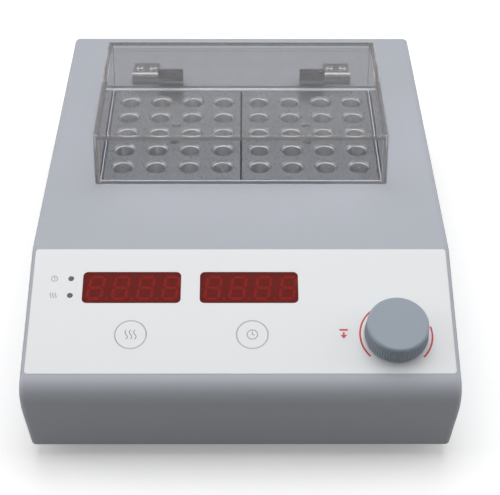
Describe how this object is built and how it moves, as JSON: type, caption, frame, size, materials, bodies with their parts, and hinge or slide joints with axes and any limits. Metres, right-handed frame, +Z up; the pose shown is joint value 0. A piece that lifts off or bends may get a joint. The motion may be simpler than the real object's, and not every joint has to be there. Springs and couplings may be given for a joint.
{
  "type": "dry bath incubator",
  "caption": "Bench dry bath with a sloping display panel, a push-and-turn knob and drilled heating blocks under a hinged clear lid.",
  "frame": {"origin": "on the table, under the middle of the footprint", "axes": "+Z up, +Y to the rear, +X to the user's right"},
  "size_m": [0.2164, 0.3088, 0.108],
  "materials": {
    "tray_steel": "grey powder coat",
    "board_laminate": "green solder mask",
    "screw_steel": "bright zinc",
    "display_plastic": "black",
    "red_filter": "dark red filter",
    "encoder_metal": "plain",
    "plunger_plastic": "black",
    "heater_rubber": "orange silicone",
    "foot_rubber": "black",
    "fuse_glass": "clear",
    "inlet_plastic": "black",
    "film_plastic": "off-white printed polyester film",
    "liner_aluminium": "mill finish",
    "switch_plastic": "black",
    "block_aluminium": "machined, clear anodised",
    "hinge_steel": "brushed stainless",
    "led_plastic": "clear diffused",
    "smoked_plastic": "dark smoked window",
    "contact_brass": "nickelled",
    "insulation_felt": "white fibre felt",
    "knob_plastic": "slate grey, satin",
    "lid_acrylic": "clear acrylic with grey-brown edges",
    "rocker_plastic": "black",
    "case_plastic": "satin light blue-grey, fine grain",
    "transformer_iron": "varnished laminations"
  },
  "bodies": {
    "case": {"base_tray": "tray_steel", "control_board": "board_laminate", "control_board_screws": "screw_steel", "cover_screws": "screw_steel", "display_module_left": "display_plastic", "display_module_right": "display_plastic", "display_window_left": "red_filter", "display_window_right": "red_filter", "encoder_body": "encoder_metal", "encoder_nut": "screw_steel", "encoder_washer": "screw_steel", "film_heater": "heater_rubber", "foot_front_left": "foot_rubber", "foot_front_right": "foot_rubber", "foot_rear_left": "foot_rubber", "foot_rear_right": "foot_rubber", "foot_screws": "screw_steel", "heat_sink": "liner_aluminium", "heat_switch": "switch_plastic", "heater_plate": "liner_aluminium", "hinge_bracket_left": "hinge_steel", "hinge_bracket_right": "hinge_steel", "hinge_pin_left": "hinge_steel", "hinge_pin_right": "hinge_steel", "hinge_screws": "screw_steel", "indicator_leds": "led_plastic", "indicator_windows": "smoked_plastic", "inlet_contacts": "contact_brass", "insulation": "insulation_felt", "panel_film": "film_plastic", "plate_screws": "screw_steel", "plate_standoffs": "screw_steel", "power_board": "board_laminate", "power_board_screws": "screw_steel", "power_board_standoffs": "screw_steel", "power_inlet": "inlet_plastic", "switch_frame": "inlet_plastic", "temperature_sensor": "screw_steel", "thermal_cutout": "switch_plastic", "timer_switch": "switch_plastic", "top_cover": "case_plastic", "transformer": "transformer_iron", "triac": "switch_plastic", "well_liner": "liner_aluminium"},
    "left_block": {"heating_block_left": "block_aluminium"},
    "right_block": {"heating_block_right": "block_aluminium"},
    "lid": {"lid": "lid_acrylic", "hinge_leaf_left": "hinge_steel", "hinge_leaf_right": "hinge_steel"},
    "heat_key": {"heat_key": "film_plastic", "heat_key_plunger": "plunger_plastic"},
    "timer_key": {"timer_key": "film_plastic", "timer_key_plunger": "plunger_plastic"},
    "encoder_rod": {"encoder_rod": "plunger_plastic"},
    "knob": {"knob": "knob_plastic", "encoder_shaft": "encoder_metal"},
    "rocker": {"switch_rocker": "rocker_plastic"},
    "fuse_drawer": {"fuse_drawer": "inlet_plastic", "fuse": "fuse_glass"}
  },
  "joints": [
    {"name": "left_block_lift", "type": "slide", "parent": "case", "child": "left_block", "axis": [0, 0, 1], "range_m": [0, 0.018]},
    {"name": "right_block_lift", "type": "slide", "parent": "case", "child": "right_block", "axis": [0, 0, 1], "range_m": [0, 0.018]},
    {"name": "lid_hinge", "type": "hinge", "parent": "case", "child": "lid", "pos_m": [0, 0.09161, 0.0819], "axis": [-1, 0, 0], "range_deg": [0, 100]},
    {"name": "heat_key_press", "type": "slide", "parent": "case", "child": "heat_key", "axis": [0, 0.3486, -0.9373], "range_m": [0, 0.0004], "stiffness_N_per_m": 2000},
    {"name": "timer_key_press", "type": "slide", "parent": "case", "child": "timer_key", "axis": [0, 0.3486, -0.9373], "range_m": [0, 0.0004], "stiffness_N_per_m": 2000},
    {"name": "knob_press", "type": "slide", "parent": "case", "child": "encoder_rod", "axis": [0, 0.3486, -0.9373], "range_m": [0, 0.0005], "stiffness_N_per_m": 3000},
    {"name": "knob_turn", "type": "hinge", "parent": "encoder_rod", "child": "knob", "pos_m": [0.0774, -0.12541, 0.05867], "axis": [0, -0.3486, 0.9373], "continuous": true},
    {"name": "rocker_tilt", "type": "hinge", "parent": "case", "child": "rocker", "pos_m": [0.008, 0.1486, 0.057], "axis": [1, 0, 0], "range_deg": [0, 18]},
    {"name": "fuse_drawer_slide", "type": "slide", "parent": "case", "child": "fuse_drawer", "axis": [0, 1, 0], "range_m": [0, 0.02]}
  ]
}
